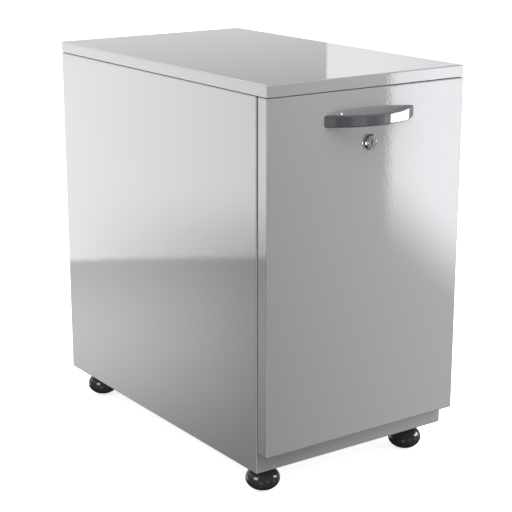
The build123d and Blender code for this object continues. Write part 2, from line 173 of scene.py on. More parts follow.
def mixed(tree, share, a, b):
    """a where share is 0 and b where it is 1."""
    node = add_node(tree, "ShaderNodeMix", data_type="FLOAT")
    feed(tree, node.inputs["Factor"], share)
    feed(tree, node.inputs["A"], a)
    feed(tree, node.inputs["B"], b)
    return node.outputs["Result"]


# %% The world's directions
world = bpy.data.worlds.new("studio")
bpy.context.scene.world = world
world.use_nodes = True
sky = world.node_tree
sky.nodes.clear()
direction = add_node(sky, "ShaderNodeTexCoord").outputs["Generated"]
parts_of_direction = add_node(sky, "ShaderNodeSeparateXYZ")
sky.links.new(direction, parts_of_direction.inputs[0])
east, north, upward = parts_of_direction.outputs
bearing = maths(sky, "DEGREES", maths(sky, "ARCTAN2", north, east))
rise = maths(sky, "DEGREES", maths(sky, "ARCSINE", upward))


def slope(*terms):
    """A sum of (value, start, gain) terms: each adds gain for every degree past its start."""
    total = 0.0
    for value, start, gain in terms:
        past = scaled(sky, maths(sky, "SUBTRACT", value, start), gain)
        total = maths(sky, "ADD", past, total)
    return total


def patch(bearings, rises, height=rise):
    """Share of a studio panel seen in a direction. Each range is (out, in, in, out), in degrees."""
    share = 1.0
    for value, (a, b, c, d) in ((bearing, bearings), (height, rises)):
        rising = ramp_between(sky, value, a, b)
        falling = ramp_between(sky, value, c, d, 1, 0)
        share = scaled(sky, scaled(sky, rising, falling), share)
    return share


# %% [markdown]
# ### What the drawer front reflects
# The left two thirds look at a dim wall that brightens slowly upwards and to the right. The right
# third looks at a tall strip box. The lower edge of the box is slanted and soft, so the bright
# zone fades out towards the foot of the drawer.

# %% Wall, strip box and the dim wall before them
light = ramp_between(sky, rise, -50, 30, 0.02, 0.08)
front_wall = maths(sky, "ADD", slope((bearing, -54.3, 0.040), (rise, -12.2, 0.0155)), 0.135)
light = mixed(sky, patch((-76, -64, -42, -34), (-30, -25, -4, 2)), light, front_wall)
strip_level = ramp_between(sky, bearing, -49.8, -47.8, 1.24, 1.55, smooth=False)
slanted_rise = maths(sky, "ADD", rise, slope((bearing, -47.3, 0.75)))
strip = patch((-49.64, -49.60, -43, -40), (-17.2, -13.1, 0, 6), slanted_rise)
light = mixed(sky, strip, light, strip_level)

# %% [markdown]
# ### What the left side reflects
# A tall white panel stands behind that side. Its lower edge draws a level line across the sheet,
# and a glow on the ground below it lights the lower half.

# %% Glow and tall panel
glow_level = ramp_between(sky, bearing, 115, 127, 1.01, 0.31)
glow_level = scaled(sky, glow_level, ramp_between(sky, rise, -15.6, -18, 0.84, 1.0))
light = mixed(sky, patch((80, 100, 122, 132), (-25.5, -18.3, -15.5, -15)), light, glow_level)
left_level = ramp_between(sky, bearing, 112, 136, 1.96, 0.52, smooth=False)
near_corner = ramp_between(sky, bearing, 117, 127, 0.0, 0.64, smooth=False)
left_shade = scaled(sky, near_corner, ramp_between(sky, rise, -12.4, -16.3))
left_level = scaled(sky, left_level, maths(sky, "SUBTRACT", 1.0, left_shade))
left_level = scaled(sky, left_level, ramp_between(sky, rise, -8.4, -4, 1.0, 0.6))
light = mixed(sky, patch((70, 84, 140, 150), (-15.59, -15.54, 1, 5)), light, left_level)

# %% [markdown]
# ### What the top and the edges reflect
# The top is seen at a grazing angle, so it is nearly a mirror. It shows the wall behind the
# pedestal, and a brighter panel to the right of that, with a sharp edge between them. A softbox
# above and behind draws the bright line along the left edge of the top.

# %% Wall behind, bright panel and edge light
back_wall = maths(sky, "ADD", slope((rise, 6.8, -0.14), (bearing, 59, 0.012)), 0.535)
light = mixed(sky, patch((36, 44, 70, 80), (2, 4, 9.5, 14)), light, back_wall)
behind_right = ramp_between(sky, bearing, 47.5, 50.5, 0.68, 0.80)
light = mixed(sky, patch((20, 30, 52.15, 52.27), (1, 4, 10, 16)), light, behind_right)
light = mixed(sky, patch((74, 84, 124, 129), (9, 14, 42, 60)), light, 1.25)

# %% [markdown]
# ### Panels for the sides that the camera doesn't see
# Each flat face of a shiny box needs something to reflect from every viewpoint, so there are more
# panels round the studio. Each one has a level at its middle, and is a little brighter above it.

# %% The other panels
PANEL_SLOPE = 0.007  # gain in level for each degree upwards
OTHER_PANELS = (
    ((-150, -143, -127, -120), (-36, -30, -6, 2), 0.95),
    ((22, 32, 58, 68), (-36, -30, -7, -2), 0.80),
    ((-16, -9, 9, 16), (-16, -10, 14, 24), 0.85),
    ((-103, -97, -83, -77), (-13, -10, 6, 14), 0.95),
    ((-60, -54, -34, -26), (9, 12, 20, 26), 0.40),
    ((130, 134, 156, 166), (14, 19, 36, 46), 0.80),
)
for bearings, rises, level in OTHER_PANELS:
    middle_rise = (rises[1] + rises[2]) / 2
    graded = maths(sky, "ADD", slope((rise, middle_rise, PANEL_SLOPE)), level)
    light = mixed(sky, patch(bearings, rises), light, graded)

# %% Finish the world
cool_white = (0.985, 1.005, 1.005)
glossy_colour = add_node(sky, "ShaderNodeCombineColor")
for channel, tint in zip(glossy_colour.inputs, cool_white):
    feed(sky, channel, scaled(sky, light, tint))
reflections = add_node(sky, "ShaderNodeBackground")
sky.links.new(glossy_colour.outputs[0], reflections.inputs["Color"])
# soft light for the paint itself: strongest from the front, weakest from behind and the left
from_front, from_right, from_above = -0.34, 0.22, 0.14  # north is behind, so the front is negative
even_level, least_level = 0.44, 0.05
even = maths(sky, "ADD", scaled(sky, north, from_front), scaled(sky, east, from_right))
even = maths(sky, "ADD", even, scaled(sky, upward, from_above))
even = maths(sky, "MAXIMUM", maths(sky, "ADD", even, even_level), least_level)
soft_light = add_node(sky, "ShaderNodeBackground")
sky.links.new(even, soft_light.inputs["Color"])
backdrop = add_node(sky, "ShaderNodeBackground")
backdrop.inputs["Color"].default_value = (1, 1, 1, 1)
ray = add_node(sky, "ShaderNodeLightPath").outputs
shown = soft_light
for kind, seen in (("Is Glossy Ray", reflections), ("Is Camera Ray", backdrop)):
    either = add_node(sky, "ShaderNodeMixShader")
    sky.links.new(ray[kind], either.inputs["Fac"])
    sky.links.new(shown.outputs[0], either.inputs[1])
    sky.links.new(seen.outputs[0], either.inputs[2])
    shown = either
sky.links.new(shown.outputs[0], add_node(sky, "ShaderNodeOutputWorld").inputs["Surface"])
print("studio world:", len(sky.nodes), "nodes")

# %% [markdown]
# ## Floor and lamps
# The floor is a plain pale sheet with a little light of its own, so that it stays white and keeps
# only a faint shadow under the castors. Only the camera sees it: the world lights the pedestal
# from below as well, which keeps the level of each face under control.

# %% Floor
floor_half = 9.0
corners = [(-1, -1), (1, -1), (1, 1), (-1, 1)]
floor_mesh = bpy.data.meshes.new("floor")
floor_mesh.from_pydata([(x * floor_half, y * floor_half, 0) for x, y in corners], [], [(0, 1, 2, 3)])
floor = bpy.data.objects.new("floor", floor_mesh)
bpy.context.scene.collection.objects.link(floor)
floor.visible_glossy = False
floor.visible_diffuse = False
floor.visible_shadow = False
floor_finish = bpy.data.materials.new("pale_floor")
floor_finish.use_nodes = True
floor_shader = floor_finish.node_tree.nodes["Principled BSDF"]
floor_look = {
    "Base Color": (0.9, 0.9, 0.9, 1),
    "Roughness": 0.9,
    "Specular IOR Level": 0.0,
    "Emission Color": (1, 1, 1, 1),
    "Emission Strength": 0.8,
}
for socket, value in floor_look.items():
    floor_shader.inputs[socket].default_value = value
floor_mesh.materials.append(floor_finish)

# %% Lamp overhead
overhead = bpy.data.objects.new("overhead", bpy.data.lights.new("overhead", "SUN"))
overhead.data.energy = 3.2
overhead.data.angle = math.radians(110)  # as wide as an overcast sky, so it casts no hard shadow
overhead.visible_glossy = False
bpy.context.scene.collection.objects.link(overhead)


# %% White cards for the small shiny parts
def white_card(name, place, toward, width, height, level, subjects):
    """A soft card that only the named nodes see, as a studio flags a light to one part."""
    lamp = bpy.data.lights.new(name, "AREA")
    lamp.shape = "RECTANGLE"
    lamp.size = width
    lamp.size_y = height
    lamp.energy = level * math.pi * width * height
    card = bpy.data.objects.new(name, lamp)
    card.location = place
    card.rotation_mode = "QUATERNION"
    card.rotation_quaternion = (Vector(toward) - Vector(place)).to_track_quat("-Z", "Y")
    card.visible_camera = False
    group = bpy.data.collections.new(name + "_subjects")
    for subject in subjects:
        group.objects.link(nodes[subject])
    card.light_linking.receiver_collection = group
    bpy.context.scene.collection.objects.link(card)


handle_middle = (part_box("handle")[0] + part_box("handle")[1]) / 2
castors_middle = (0, 0, 0.03)
lock_parts = ["lock_rosette", "lock_barrel", "lock_core"]
castor_shells = [name for name in nodes if name.startswith("castor_shell")]
CARDS = (  # name, place, toward, width, height, level, subjects
    ("card_handle", (1.04, -0.297, 0.36), handle_middle, 1.56, 0.45, 21.0, ["handle"]),
    ("card_lock_high", (0.75, -1.0, 0.75), handle_middle, 0.35, 0.5, 6.0, lock_parts),
    ("card_lock_low", (-0.5, -1.1, 0.1), handle_middle, 0.5, 0.4, 4.0, lock_parts),
    ("card_castors_right", (1.5, -0.75, 0.75), castors_middle, 1.0, 0.7, 12.0, castor_shells),
    ("card_castors_left", (-1.7, -0.3, 0.9), castors_middle, 0.9, 0.8, 8.0, castor_shells),
)
for card_facts in CARDS:
    white_card(*card_facts)

# %% [markdown]
# ## Finishes
# Each finish is a small tree of noise patterns on Object coordinates. Two patterns at different
# scales are the least that looks real: a fine one for the surface itself, and a broad one for the
# way it varies over a whole part. Colour, roughness and bump each get their own, so that they
# never line up.

# %% Finish helpers
def new_finish(name):
    """An empty material: returns it, its tree, its shader and the Object coordinates."""
    material = bpy.data.materials.new(name)
    material.use_nodes = True
    tree = material.node_tree
    shader = tree.nodes["Principled BSDF"]
    place = add_node(tree, "ShaderNodeTexCoord").outputs["Object"]
    return material, tree, shader, place


def stretched(tree, place, factors):
    """Coordinates squeezed along some axes, for brushed or rolled grain."""
    mapping = add_node(tree, "ShaderNodeMapping")
    tree.links.new(place, mapping.inputs["Vector"])
    mapping.inputs["Scale"].default_value = factors
    return mapping.outputs["Vector"]


NOISE_LOW, NOISE_HIGH = 0.3, 0.7


def noise(tree, place, cells_per_metre, detail=2.0):
    """Noise that stays mostly between NOISE_LOW and NOISE_HIGH."""
    node = add_node(tree, "ShaderNodeTexNoise")
    tree.links.new(place, node.inputs["Vector"])
    node.inputs["Scale"].default_value = cells_per_metre
    node.inputs["Detail"].default_value = detail
    return node.outputs["Fac"]


def crystals(tree, place, cells_per_metre, output="Distance"):
    """Cells with straight borders, for zinc spangle, chips and cast grain."""
    node = add_node(tree, "ShaderNodeTexVoronoi")
    tree.links.new(place, node.inputs["Vector"])
    node.inputs["Scale"].default_value = cells_per_metre
    return node.outputs[output]


def blended(tree, share, first, second):
    """Colour first where share is 0 and second where it is 1; each is a colour or a socket."""
    node = add_node(tree, "ShaderNodeMix", data_type="RGBA")
    feed(tree, node.inputs["Factor"], share)
    for socket, colour in (("A", first), ("B", second)):
        sockets = [s for s in node.inputs if s.name == socket and s.type == "RGBA"]
        feed(tree, sockets[0], colour if isinstance(colour, bpy.types.NodeSocket) else (*colour, 1))
    return [s for s in node.outputs if s.type == "RGBA"][0]


def wandering(tree, pattern, dark, pale):
    """A colour that wanders between two tones with a noise pattern."""
    return blended(tree, ramp_between(tree, pattern, NOISE_LOW, NOISE_HIGH), dark, pale)


def two_tone(tree, shader, pattern, dark, pale):
    """Base colour that wanders between two tones."""
    tree.links.new(wandering(tree, pattern, dark, pale), shader.inputs["Base Color"])


def uneven_gloss(tree, shader, pattern, smoothest, roughest):
    """Roughness that wanders between two values."""
    rough = ramp_between(tree, pattern, NOISE_LOW, NOISE_HIGH, smoothest, roughest)
    tree.links.new(rough, shader.inputs["Roughness"])


def relief(tree, shader, layers):
    """Bump from several (height pattern, depth in metres) layers, one on top of the other."""
    normal = None
    for height, depth in layers:
        node = add_node(tree, "ShaderNodeBump")
        node.inputs["Distance"].default_value = depth
        tree.links.new(height, node.inputs["Height"])
        if normal:
            tree.links.new(normal, node.inputs["Normal"])
        normal = node.outputs["Normal"]
    tree.links.new(normal, shader.inputs["Normal"])


def worn_edges(tree, radius, strength=1.0):
    """1 on sharp edges and 0 on flats: how far a rounded normal turns from the true one."""
    rounded = add_node(tree, "ShaderNodeBevel", samples=6)
    rounded.inputs["Radius"].default_value = radius
    true_normal = add_node(tree, "ShaderNodeNewGeometry").outputs["Normal"]
    agreement = add_node(tree, "ShaderNodeVectorMath", operation="DOT_PRODUCT")
    tree.links.new(rounded.outputs["Normal"], agreement.inputs[0])
    tree.links.new(true_normal, agreement.inputs[1])
    return ramp_between(tree, agreement.outputs["Value"], 0.995, 0.80, 0.0, strength)


finishes = {}

# %% [markdown]
# ### Silver lacquer on the body
# Gloss lacquer with a little aluminium in it: half of it behaves as metal. Its mirror has a very
# fine orange peel, and the sheet below it is flat only to a few hundredths of a millimetre, which
# bends long reflections slightly.

# %% Silver lacquer
material, tree, shader, place = new_finish("silver_lacquer")
shader.inputs["Metallic"].default_value = 0.5
two_tone(tree, shader, noise(tree, place, 2600, 2), (0.640, 0.622, 0.646), (0.690, 0.672, 0.696))
uneven_gloss(tree, shader, noise(tree, place, 16, 3), 0.015, 0.035)
peel = noise(tree, place, 300, 1)
sheet_wave = noise(tree, place, 4, 1)
relief(tree, shader, [(peel, 0.000013), (sheet_wave, 0.00002)])
finishes["body_enamel"] = material

# %% [markdown]
# ### Satin enamel inside the drawer
# Inside faces get a thinner, rougher coat, which is rubbed through along the folds.

# %% Satin enamel
material, tree, shader, place = new_finish("satin_enamel")
shader.inputs["Metallic"].default_value = 0.15
coat = wandering(tree, noise(tree, place, 9, 3), (0.45, 0.45, 0.46), (0.53, 0.53, 0.54))
bare = worn_edges(tree, 0.0008, 0.7)
tree.links.new(blended(tree, bare, coat, (0.66, 0.66, 0.66)), shader.inputs["Base Color"])
uneven_gloss(tree, shader, noise(tree, place, 35, 4), 0.32, 0.46)
relief(tree, shader, [(noise(tree, place, 1500, 3), 0.000006)])
finishes["drawer_enamel"] = material

# %% [markdown]
# ### Zinc-plated sheet
# Hot zinc freezes into flat crystals, each with its own grey and gloss. Rolling adds fine
# scratches along the length of a slide.

# %% Zinc-plated sheet
material, tree, shader, place = new_finish("zinc_sheet")
shader.inputs["Metallic"].default_value = 0.55
grain = add_node(tree, "ShaderNodeSeparateColor")
tree.links.new(crystals(tree, place, 130, "Color"), grain.inputs[0])
scratches = noise(tree, stretched(tree, place, (1, 0.03, 1)), 2200, 3)
two_tone(tree, shader, grain.outputs[0], (0.58, 0.59, 0.60), (0.68, 0.69, 0.70))
uneven_gloss(tree, shader, grain.outputs[1], 0.34, 0.48)
relief(tree, shader, [(scratches, 0.000004)])
finishes["inner_zinc_steel"] = material

# %% [markdown]
# ### Plated fasteners
# Small plated parts are tumbled, so they are bright with soft edges and a faint warm tint.

# %% Plated fasteners
material, tree, shader, place = new_finish("bright_plate")
shader.inputs["Metallic"].default_value = 1.0
plate = wandering(tree, noise(tree, place, 500, 2), (0.62, 0.61, 0.57), (0.74, 0.74, 0.72))
rubbed = worn_edges(tree, 0.0003, 0.6)
tree.links.new(blended(tree, rubbed, plate, (0.86, 0.86, 0.85)), shader.inputs["Base Color"])
uneven_gloss(tree, shader, noise(tree, place, 900, 3), 0.14, 0.30)
relief(tree, shader, [(noise(tree, place, 3000, 2), 0.000002)])
finishes["plated_fasteners"] = material

# %% [markdown]
# ### Chrome on the lock
# A chrome lock is polished but handled: fingers leave it slightly hazy in patches, and the key
# leaves fine scratches.

# %% Chrome
material, tree, shader, place = new_finish("chrome")
shader.inputs["Metallic"].default_value = 1.0
two_tone(tree, shader, noise(tree, place, 260, 2), (0.78, 0.78, 0.79), (0.86, 0.86, 0.87))
uneven_gloss(tree, shader, noise(tree, place, 220, 4), 0.01, 0.06)
relief(tree, shader, [(noise(tree, stretched(tree, place, (1, 1, 0.1)), 5000, 2), 0.0000006)])
finishes["lock_chrome"] = material

# %% [markdown]
# ### Gunmetal handle
# A dark lacquer over die-cast zinc. It is glossy, with the soft ripple of a casting under it, and
# paler where hands rub its edges.

# %% Gunmetal lacquer
material, tree, shader, place = new_finish("gunmetal")
lacquer = wandering(tree, noise(tree, place, 1800, 2), (0.085, 0.083, 0.092), (0.105, 0.103, 0.112))
handled = worn_edges(tree, 0.0006, 0.35)
tree.links.new(blended(tree, handled, lacquer, (0.15, 0.15, 0.16)), shader.inputs["Base Color"])
uneven_gloss(tree, shader, noise(tree, place, 60, 3), 0.03, 0.07)
relief(tree, shader, [(noise(tree, place, 900, 2), 0.0000012), (noise(tree, place, 40, 1), 0.000012)])
finishes["handle_gunmetal"] = material

# %% [markdown]
# ### Black plastics
# The castor's shell is a polished moulding, with faint flow marks round it and scuffs where it
# meets furniture. The roller inside is hard nylon, dulled by the floor.

# %% Castor shell
material, tree, shader, place = new_finish("gloss_black")
rubs = noise(tree, stretched(tree, place, (1, 1, 3)), 300, 5)
scuffs = ramp_between(tree, rubs, 0.58, 0.70, 0.0, 0.3)
moulded = blended(tree, scuffs, (0.030, 0.030, 0.032), (0.06, 0.06, 0.062))
tree.links.new(moulded, shader.inputs["Base Color"])
uneven_gloss(tree, shader, noise(tree, place, 120, 4), 0.03, 0.10)
flow_marks = noise(tree, stretched(tree, place, (0.3, 0.3, 1)), 500, 2)
relief(tree, shader, [(noise(tree, place, 2500, 2), 0.0000015), (flow_marks, 0.000004)])
finishes["castor_plastic"] = material

# %% Roller
material, tree, shader, place = new_finish("dull_nylon")
dust = noise(tree, place, 180, 5)
two_tone(tree, shader, dust, (0.035, 0.035, 0.035), (0.085, 0.083, 0.08))
uneven_gloss(tree, shader, noise(tree, place, 400, 3), 0.40, 0.62)
relief(tree, shader, [(noise(tree, place, 1800, 4), 0.00002)])
finishes["wheel_plastic"] = material

# %% [markdown]
# ### Board, iron and rubber
# Particle board is pressed chips, each a cell with its own brown. The counterweight is painted
# rough iron. The soft stops are matt rubber.

# %% Particle board
material, tree, shader, place = new_finish("particle_board")
chip = add_node(tree, "ShaderNodeSeparateColor")
tree.links.new(crystals(tree, stretched(tree, place, (1, 0.5, 1.6)), 420, "Color"), chip.inputs[0])
two_tone(tree, shader, chip.outputs[0], (0.36, 0.25, 0.15), (0.66, 0.52, 0.36))
uneven_gloss(tree, shader, chip.outputs[1], 0.65, 0.85)
relief(tree, shader, [(chip.outputs[2], 0.00008), (noise(tree, place, 2500, 3), 0.00003)])
finishes["core_board"] = material

# %% Painted iron
material, tree, shader, place = new_finish("painted_iron")
two_tone(tree, shader, noise(tree, place, 60, 4), (0.055, 0.055, 0.06), (0.10, 0.10, 0.11))
uneven_gloss(tree, shader, noise(tree, place, 90, 3), 0.42, 0.66)
relief(tree, shader, [(crystals(tree, place, 500), 0.00006), (noise(tree, place, 60, 3), 0.0002)])
finishes["cast_weight"] = material

# %% Rubber
material, tree, shader, place = new_finish("matt_rubber")
two_tone(tree, shader, noise(tree, place, 700, 3), (0.028, 0.028, 0.028), (0.055, 0.055, 0.054))
uneven_gloss(tree, shader, noise(tree, place, 300, 2), 0.70, 0.90)
relief(tree, shader, [(noise(tree, place, 4000, 3), 0.00001)])
finishes["bumper_rubber"] = material

# %% Dress the CAD nodes
for name, node in nodes.items():
    slot_name = node.material_slots[0].name.split(".")[0]
    node.material_slots[0].material = finishes[slot_name]
print("finishes:", sorted(finishes), "missing:", [name for name in slots if name not in finishes])

# %% [markdown]
# ## Small hardware by Geometry Nodes
# The same screw sits in many places, and every one is turned differently. So one tree makes the
# screw from its sizes, sets it on marked spots, and gives each a spin of its own from a fixed
# seed. The spots are the CAD model's own: each separate solid of a node is one fastener, and its
# box says where it stands and how large it is.

# %% Find the separate solids of a node
MERGE_WITHIN = 0.00001


def solids_of(node):
    """Lowest and highest corner of each separate solid, from a merged copy of the mesh."""
    copy = bmesh.new()
    copy.from_mesh(node.data)
    bmesh.ops.remove_doubles(copy, verts=copy.verts, dist=MERGE_WITHIN)
    waiting = set(copy.verts)
    found = []
    while waiting:
        reached = [waiting.pop()]
        low = reached[0].co.copy()
        high = reached[0].co.copy()
        while reached:
            vertex = reached.pop()
            low = Vector(map(min, low, vertex.co))
            high = Vector(map(max, high, vertex.co))
            for edge in vertex.link_edges:
                other = edge.other_vert(vertex)
                if other in waiting:
                    waiting.discard(other)
                    reached.append(other)
        found.append((low, high))
    copy.free()
    return sorted(found, key=lambda corners: tuple(round(v, 4) for v in corners[0]))


for name in ("back_screws", "post_rivets", "castor_stems", "ball_cages_outer"):
    print(name, len(solids_of(nodes[name])), "solids")


# %% [markdown]
# ### The trees' common parts
# A fastener is turned on a lathe, so it is a stack of round slices, each a cone cut off at both
# ends. A thread is a spiral with a three-sided section. A tree gets its sizes through named
# inputs, and ends in Realize Instances and Set Material, which leaves one plain mesh.

# %% Tree helpers
def new_tree(name, sizes):
    """An empty Geometry Nodes tree with an input for each named size, and its input sockets."""
    tree = bpy.data.node_groups.new(name, "GeometryNodeTree")
    tree.interface.new_socket("Geometry", in_out="INPUT", socket_type="NodeSocketGeometry")
    for size in sizes:
        tree.interface.new_socket(size, in_out="INPUT", socket_type="NodeSocketFloat")
    tree.interface.new_socket("Finish", in_out="INPUT", socket_type="NodeSocketMaterial")
    tree.interface.new_socket("Geometry", in_out="OUTPUT", socket_type="NodeSocketGeometry")
    return tree, add_node(tree, "NodeGroupInput").outputs


def vector(tree, x=0.0, y=0.0, z=0.0):
    """Three numbers or sockets as one vector socket."""
    node = add_node(tree, "ShaderNodeCombineXYZ")
    for socket, value in zip(node.inputs, (x, y, z)):
        feed(tree, socket, value)
    return node.outputs[0]


def moved(tree, shape, offset):
    """A shape shifted by a vector socket."""
    node = add_node(tree, "GeometryNodeTransform")
    tree.links.new(shape, node.inputs["Geometry"])
    tree.links.new(offset, node.inputs["Translation"])
    return node.outputs[0]


def joined(tree, shapes):
    """Several shapes as one."""
    node = add_node(tree, "GeometryNodeJoinGeometry")
    for shape in shapes:
        tree.links.new(shape, node.inputs[0])
    return node.outputs[0]


def slice_of_lathe(tree, low_radius, high_radius, low, height, sides=32):
    """A cone cut off at both ends, standing at low on the Z axis."""
    node = add_node(tree, "GeometryNodeMeshCone")
    node.inputs["Vertices"].default_value = sides
    feed(tree, node.inputs["Radius Bottom"], low_radius)
    feed(tree, node.inputs["Radius Top"], high_radius)
    feed(tree, node.inputs["Depth"], height)
    return moved(tree, node.outputs["Mesh"], vector(tree, z=low))


def block_of(tree, x, y, z, middle):
    """A box of three sizes round a middle."""
    node = add_node(tree, "GeometryNodeMeshCube")
    tree.links.new(vector(tree, x, y, z), node.inputs["Size"])
    return moved(tree, node.outputs["Mesh"], middle)


def combined(tree, operation, shape, tool):
    """A shape cut by a tool, or kept only inside it."""
    node = add_node(tree, "GeometryNodeMeshBoolean", operation=operation, solver="EXACT")
    if operation == "DIFFERENCE":
        tree.links.new(shape, node.inputs["Mesh 1"])
        tree.links.new(tool, node.inputs["Mesh 2"])
    else:
        tree.links.new(shape, node.inputs["Mesh 2"])
        tree.links.new(tool, node.inputs["Mesh 2"])
    return node.outputs["Mesh"]


def thread(tree, radius, ridge, low, length, pitch):
    """A spiral ridge with a three-sided section."""
    spiral = add_node(tree, "GeometryNodeCurveSpiral")
    spiral.inputs["Resolution"].default_value = 16
    feed(tree, spiral.inputs["Rotations"], maths(tree, "DIVIDE", length, pitch))
    feed(tree, spiral.inputs["Start Radius"], radius)
    feed(tree, spiral.inputs["End Radius"], radius)
    feed(tree, spiral.inputs["Height"], length)
    section = add_node(tree, "GeometryNodeCurvePrimitiveCircle")
    section.inputs["Resolution"].default_value = 3
    feed(tree, section.inputs["Radius"], ridge)
    ridge_mesh = add_node(tree, "GeometryNodeCurveToMesh")
    ridge_mesh.inputs["Fill Caps"].default_value = True
    tree.links.new(spiral.outputs[0], ridge_mesh.inputs["Curve"])
    tree.links.new(section.outputs[0], ridge_mesh.inputs["Profile Curve"])
    return moved(tree, ridge_mesh.outputs[0], vector(tree, z=low))


def set_on_spots(tree, given, shape, axis, seed, spin=math.tau):
    """Puts the shape on every marked spot, along the spot's own direction, and ends the tree."""
    marked = add_node(tree, "GeometryNodeInputNamedAttribute", data_type="FLOAT_VECTOR")
    marked.inputs["Name"].default_value = "facing"
    pivot = "AUTO" if axis == "Z" else "Z"
    aimed = add_node(tree, "FunctionNodeAlignRotationToVector", axis=axis, pivot_axis=pivot)
    tree.links.new(marked.outputs["Attribute"], aimed.inputs["Vector"])
    chance = add_node(tree, "FunctionNodeRandomValue", data_type="FLOAT")
    chance.inputs[2].default_value = 0.0
    chance.inputs[3].default_value = spin
    chance.inputs["Seed"].default_value = seed
    turn = add_node(tree, "FunctionNodeEulerToRotation")
    tree.links.new(vector(tree, z=chance.outputs[1]), turn.inputs[0])
    turned = add_node(tree, "FunctionNodeRotateRotation", rotation_space="LOCAL")
    tree.links.new(aimed.outputs[0], turned.inputs["Rotation"])
    tree.links.new(turn.outputs[0], turned.inputs["Rotate By"])
    spread = add_node(tree, "GeometryNodeInstanceOnPoints")
    tree.links.new(given["Geometry"], spread.inputs["Points"])
    tree.links.new(shape, spread.inputs["Instance"])
    tree.links.new(turned.outputs[0], spread.inputs["Rotation"])
    real = add_node(tree, "GeometryNodeRealizeInstances")
    tree.links.new(spread.outputs[0], real.inputs[0])
    coated = add_node(tree, "GeometryNodeSetMaterial")
    tree.links.new(real.outputs[0], coated.inputs["Geometry"])
    tree.links.new(given["Finish"], coated.inputs["Material"])
    tree.links.new(coated.outputs[0], add_node(tree, "NodeGroupOutput").inputs[0])


# %% Run a tree and keep its result
SHARP_FROM = 32  # degrees between two faces from which their edge stays sharp


def make_hardware(node_name, tree, spots, sizes, slot_name):
    """Runs a tree on (place, facing) spots, and lets the plain mesh stand for a CAD node."""
    marks = bpy.data.meshes.new(node_name + "_spots")
    marks.from_pydata([place for place, facing in spots], [], [])
    facings = marks.attributes.new("facing", "FLOAT_VECTOR", "POINT")
    for mark, (place, facing) in zip(facings.data, spots):
        mark.vector = facing
    holder = bpy.data.objects.new(node_name + "_spots", marks)
    bpy.context.scene.collection.objects.link(holder)
    modifier = holder.modifiers.new("hardware", "NODES")
    modifier.node_group = tree
    values = {**sizes, "Finish": finishes[slot_name]}
    for item in tree.interface.items_tree:
        if item.in_out == "INPUT" and item.name in values:
            modifier[item.identifier] = values[item.name]
    bpy.context.view_layer.update()
    evaluated = holder.evaluated_get(bpy.context.evaluated_depsgraph_get())
    mesh = bpy.data.meshes.new_from_object(evaluated)
    holder.modifiers.remove(modifier)
    bpy.data.objects.remove(holder)
    mesh.shade_smooth()
    mesh.set_sharp_from_angle(angle=math.radians(SHARP_FROM))
    piece = bpy.data.objects.new(node_name + "_detailed", mesh)
    bpy.context.scene.collection.objects.link(piece)
    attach(piece, body_of(nodes[node_name])[0])
    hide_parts(node_name)
    low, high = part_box(node_name)
    reach = [Vector(map(pick, *(v.co for v in mesh.vertices))) for pick in (min, max)]
    strays = [round(1000 * v, 2) for v in (*(reach[0] - low), *(reach[1] - high))]
    print(node_name, len(spots), "places,", len(mesh.polygons), "faces, off the box by mm", strays)


def middle_of(low, high):
    """The middle of a box, for a fastener's spot."""
    return (low.x + high.x) / 2, (low.y + high.y) / 2, (low.z + high.z) / 2


# %% [markdown]
# ### Screws
# A screw head is a low cone with a cross-shaped recess cut into it, and its shank carries a
# coarse thread. The countersunk screws in the back wall widen outwards and sit flush; the pan
# heads inside the drawer narrow outwards.

# %% The screw tree
screw_sizes = ("Foot Radius", "Crown Radius", "Head Height", "Shank Radius", "Shank Length", "Recess")
screw_tree, given = new_tree("screw", screw_sizes)
foot, crown, tall, shank, long, recess = (given[size] for size in screw_sizes)
head_solid = slice_of_lathe(screw_tree, foot, crown, 0.0, tall)
slot_width = scaled(screw_tree, recess, 0.26)
slot_depth = scaled(screw_tree, tall, 1.3)
at_crown = vector(screw_tree, z=tall)
first_slot = block_of(screw_tree, recess, slot_width, slot_depth, at_crown)
second_slot = block_of(screw_tree, slot_width, recess, slot_depth, at_crown)
slotted_once = combined(screw_tree, "DIFFERENCE", head_solid, first_slot)
head = combined(screw_tree, "DIFFERENCE", slotted_once, second_slot)
core_radius = scaled(screw_tree, shank, 0.80)
tip_radius = scaled(screw_tree, shank, 0.5)
below = scaled(screw_tree, long, -1.0)
core = slice_of_lathe(screw_tree, tip_radius, core_radius, below, long, 20)
ridge = scaled(screw_tree, shank, 0.20)
pitch = scaled(screw_tree, shank, 0.65)
near_tip = scaled(screw_tree, long, -0.93)
threaded = scaled(screw_tree, long, 0.90)
screw_thread = thread(screw_tree, core_radius, ridge, near_tip, threaded, pitch)
set_on_spots(screw_tree, given, joined(screw_tree, [head, core, screw_thread]), "Z", seed=3)

# %% Screws in place
COUNTERSUNK = {
    "Foot Radius": 0.0016,
    "Crown Radius": 0.0034,
    "Head Height": 0.0010,
    "Shank Radius": 0.0016,
    "Recess": 0.0040,
}
PAN_HEAD = {
    "Foot Radius": 0.0038,
    "Crown Radius": 0.0030,
    "Head Height": 0.0022,
    "Shank Radius": 0.0020,
    "Recess": 0.0042,
}
LOW_PAN_HEAD = {**PAN_HEAD, "Head Height": 0.0020}


def screws(node_name, kind):
    """Screws along +Y: the head ends at the far face of each solid's box."""
    spots = []
    for low, high in solids_of(nodes[node_name]):
        x, y, z = middle_of(low, high)
        spots.append(((x, high.y - kind["Head Height"], z), (0, 1, 0)))
    sizes = {**kind, "Shank Length": high.y - low.y - kind["Head Height"]}
    make_hardware(node_name, screw_tree, spots, sizes, "plated_fasteners")


screws("back_screws", COUNTERSUNK)
screws("front_screws", PAN_HEAD)
screws("handle_screws", PAN_HEAD)
screws("cam_screw", LOW_PAN_HEAD)

